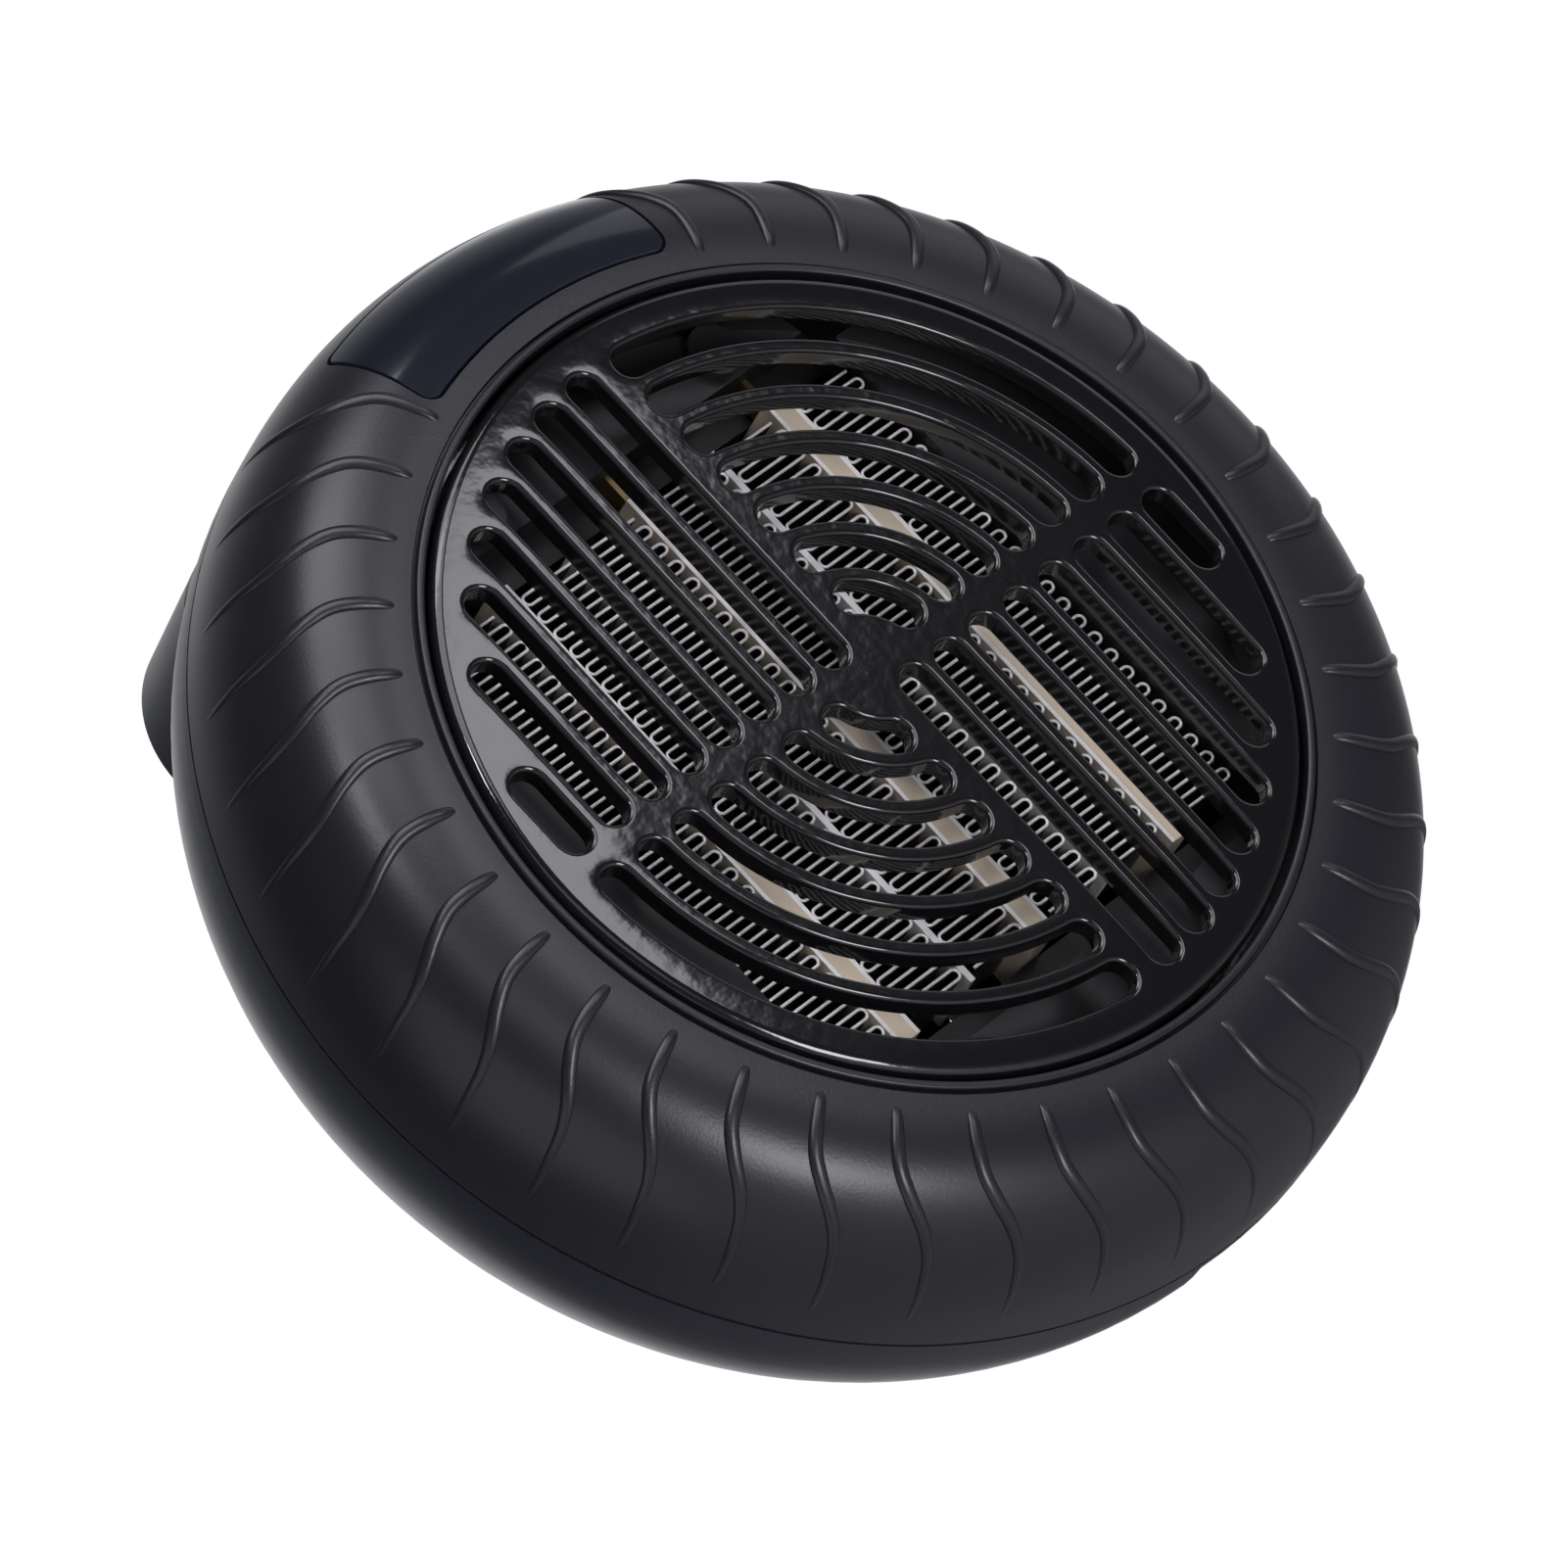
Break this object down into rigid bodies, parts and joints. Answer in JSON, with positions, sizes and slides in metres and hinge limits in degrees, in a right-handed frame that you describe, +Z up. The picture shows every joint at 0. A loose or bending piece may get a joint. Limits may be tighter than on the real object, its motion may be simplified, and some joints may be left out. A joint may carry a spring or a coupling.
{
  "type": "plug-in wall heater",
  "caption": "Round plug-in fan heater that hangs from a wall socket, with a pinwheel grille, ribbed rim, touch panel, turning plug and power rocker.",
  "frame": {"origin": "middle of the plug's end face, between the two pins", "axes": "+X to the right as one faces the front, +Y into the wall along the pins, +Z up"},
  "size_m": [0.14, 0.1128, 0.1436],
  "materials": {
    "shell_black": "fine matt moulded plastic",
    "shell_satin": "smooth satin moulded plastic",
    "grille_gloss": "high gloss moulded plastic",
    "panel_gloss": "glossy dark window",
    "frame_black": "heat proof moulded plastic",
    "fin_aluminium": "bright folded sheet",
    "bar_tan": "heating bar wrapped in tan insulating film",
    "strip_bright": "bright strip",
    "brass": "plain brass",
    "pin_nickel": "nickel plated brass",
    "steel": "zinc plated steel",
    "fan_plastic": "moulded plastic",
    "board_green": "circuit board",
    "part_dark": "moulded component case",
    "part_blue": "moulded component case",
    "part_white": "moulded component case",
    "switch_black": "gloss switch plastic"
  },
  "bodies": {
    "plug": {"plug_nose": "shell_satin", "plug_pins": "pin_nickel", "plug_retainer": "fan_plastic"},
    "housing": {"front_shell": "shell_black", "rear_shell": "shell_satin", "front_grille": "grille_gloss", "display_panel": "panel_gloss", "display_board": "board_green", "led_display": "part_dark", "touch_springs": "steel", "heater_frame": "frame_black", "heater_terminals": "brass", "frame_screws": "steel", "housing_screws": "steel", "shell_screws": "steel", "board_screws": "steel", "thermal_cutout": "part_dark", "thermal_fuse": "part_white", "fan_housing": "frame_black", "fan_motor": "steel", "switch_body": "switch_black", "control_board": "board_green", "relay": "part_blue", "film_capacitor": "part_white", "filter_capacitor": "part_dark", "buzzer": "part_dark", "fin_row_1": "fin_aluminium", "fin_row_2": "fin_aluminium", "fin_row_3": "fin_aluminium", "fin_row_4": "fin_aluminium", "fin_row_5": "fin_aluminium", "fin_row_6": "fin_aluminium", "heating_bar_1": "bar_tan", "heating_bar_2": "bar_tan", "heating_bar_3": "bar_tan", "unit_strip_1": "strip_bright", "unit_strip_2": "strip_bright"},
    "fan": {"fan_impeller": "fan_plastic", "motor_shaft": "steel"},
    "rocker": {"power_rocker": "switch_black"}
  },
  "joints": [
    {"name": "plug_turn", "type": "hinge", "parent": "plug", "child": "housing", "pos_m": [0, 0, 0], "axis": [0, 1, 0], "range_deg": [-90, 90]},
    {"name": "fan_spin", "type": "hinge", "parent": "housing", "child": "fan", "pos_m": [0, 0, -0.057], "axis": [0, 1, 0], "continuous": true},
    {"name": "rocker_tip", "type": "hinge", "parent": "housing", "child": "rocker", "pos_m": [0.0042, -0.0618, -0.1218], "axis": [0, 1, 0], "range_deg": [-18, 0]}
  ]
}
